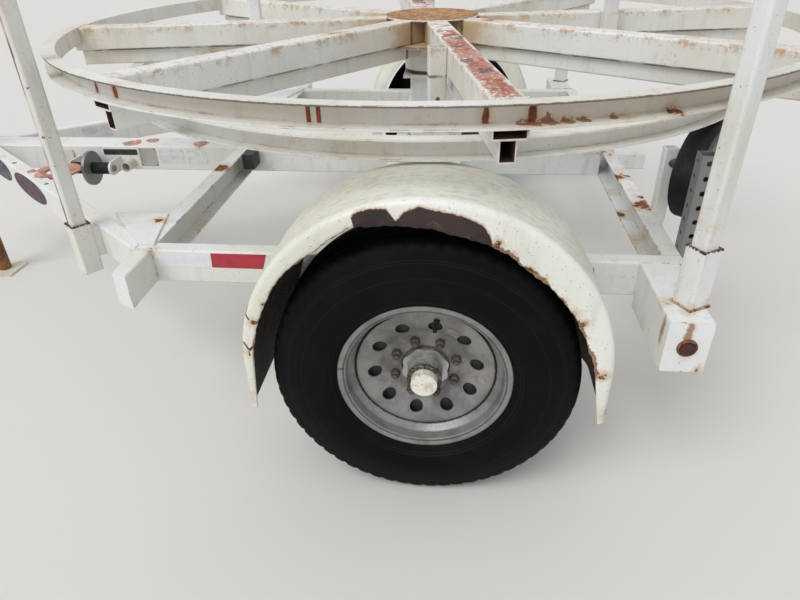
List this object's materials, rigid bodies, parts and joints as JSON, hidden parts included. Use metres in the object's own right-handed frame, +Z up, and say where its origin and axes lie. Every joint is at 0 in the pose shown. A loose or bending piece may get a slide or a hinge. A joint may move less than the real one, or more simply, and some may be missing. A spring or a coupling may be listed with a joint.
{
  "type": "coil tubing reel trailer",
  "caption": "Single-axle trailer with a flat spoked turntable and upright stakes that hold a coil of tubing, turned by a friction wheel under its lower ring.",
  "frame": {"origin": "on the ground, in the middle of the outline", "axes": "+X towards the tail, +Y to the side away from the jack, +Z up"},
  "size_m": [3.598, 2.624, 1.9],
  "materials": {
    "frame_paint": "satin",
    "fender_paint": "satin",
    "rusty_steel": "matte",
    "dark_steel": "satin",
    "grey_steel": "matte",
    "jack_paint": "satin",
    "wheel_silver": "satin",
    "hub_metal": "satin",
    "tyre": "matte",
    "drive_rubber": "matte",
    "sleeve_rubber": "matte",
    "lamp_red": "gloss",
    "box_plastic": "matte"
  },
  "bodies": {
    "chassis": {"axle": "dark_steel", "brake_backing_plates": "dark_steel", "centre_beam": "frame_paint", "corner_gussets": "frame_paint", "drive_upright_inner": "frame_paint", "drive_upright_outer": "grey_steel", "drive_wheel_bracket": "grey_steel", "fender_brackets": "frame_paint", "fender_far": "fender_paint", "fender_near": "fender_paint", "front_crossmember": "frame_paint", "front_outriggers": "frame_paint", "jack_crank": "grey_steel", "jack_tube": "jack_paint", "junction_box": "box_plastic", "leaf_springs": "dark_steel", "line_roller": "grey_steel", "marker_lamps": "lamp_red", "middle_crossmembers": "frame_paint", "outer_stakes": "frame_paint", "rear_crossmember": "frame_paint", "rear_outriggers": "frame_paint", "rear_receiver": "rusty_steel", "roller_lugs": "frame_paint", "roller_sleeves": "sleeve_rubber", "side_rail_far": "frame_paint", "side_rail_near": "frame_paint", "spring_clamps": "dark_steel", "spring_hangers": "dark_steel", "spring_shackles": "dark_steel", "stake_sockets_front": "frame_paint", "stake_sockets_rear": "frame_paint", "tail_lamps": "lamp_red", "tongue_fittings": "frame_paint", "tongue_rail_far": "frame_paint", "tongue_rail_near": "frame_paint", "towing_eye": "dark_steel", "turntable_pedestal": "frame_paint", "turntable_thrust_ring": "rusty_steel"},
    "turntable": {"turntable_hub": "frame_paint", "turntable_hub_disc": "rusty_steel", "turntable_ring_lower": "frame_paint", "turntable_ring_upper": "frame_paint", "turntable_spokes_lower": "frame_paint", "turntable_spokes_upper": "frame_paint", "turntable_stake_bolts": "rusty_steel", "turntable_stake_sockets": "frame_paint", "turntable_stakes": "rusty_steel"},
    "wheel_near": {"wheel_near_hub": "hub_metal", "wheel_near_rim": "wheel_silver", "wheel_near_tyre": "tyre"},
    "wheel_far": {"wheel_far_hub": "hub_metal", "wheel_far_rim": "wheel_silver", "wheel_far_tyre": "tyre"},
    "drive_wheel": {"drive_wheel_rim": "grey_steel", "drive_wheel_tyre": "drive_rubber"},
    "jack": {"jack_leg": "rusty_steel"}
  },
  "joints": [
    {"name": "turntable_spin", "type": "hinge", "parent": "chassis", "child": "turntable", "pos_m": [0.5, 0, 0.9], "axis": [0, 0, 1], "continuous": true},
    {"name": "wheel_near_spin", "type": "hinge", "parent": "chassis", "child": "wheel_near", "pos_m": [0.549, -1.19, 0.387], "axis": [0, 1, 0], "continuous": true},
    {"name": "wheel_far_spin", "type": "hinge", "parent": "chassis", "child": "wheel_far", "pos_m": [0.549, 1.19, 0.387], "axis": [0, 1, 0], "continuous": true},
    {"name": "drive_wheel_spin", "type": "hinge", "parent": "chassis", "child": "drive_wheel", "pos_m": [1.31972, -0.7001, 0.738], "axis": [0.7604, -0.6494, 0], "continuous": true},
    {"name": "jack_slide", "type": "slide", "parent": "chassis", "child": "jack", "axis": [0, 0, 1], "range_m": [0, 0.28]}
  ]
}
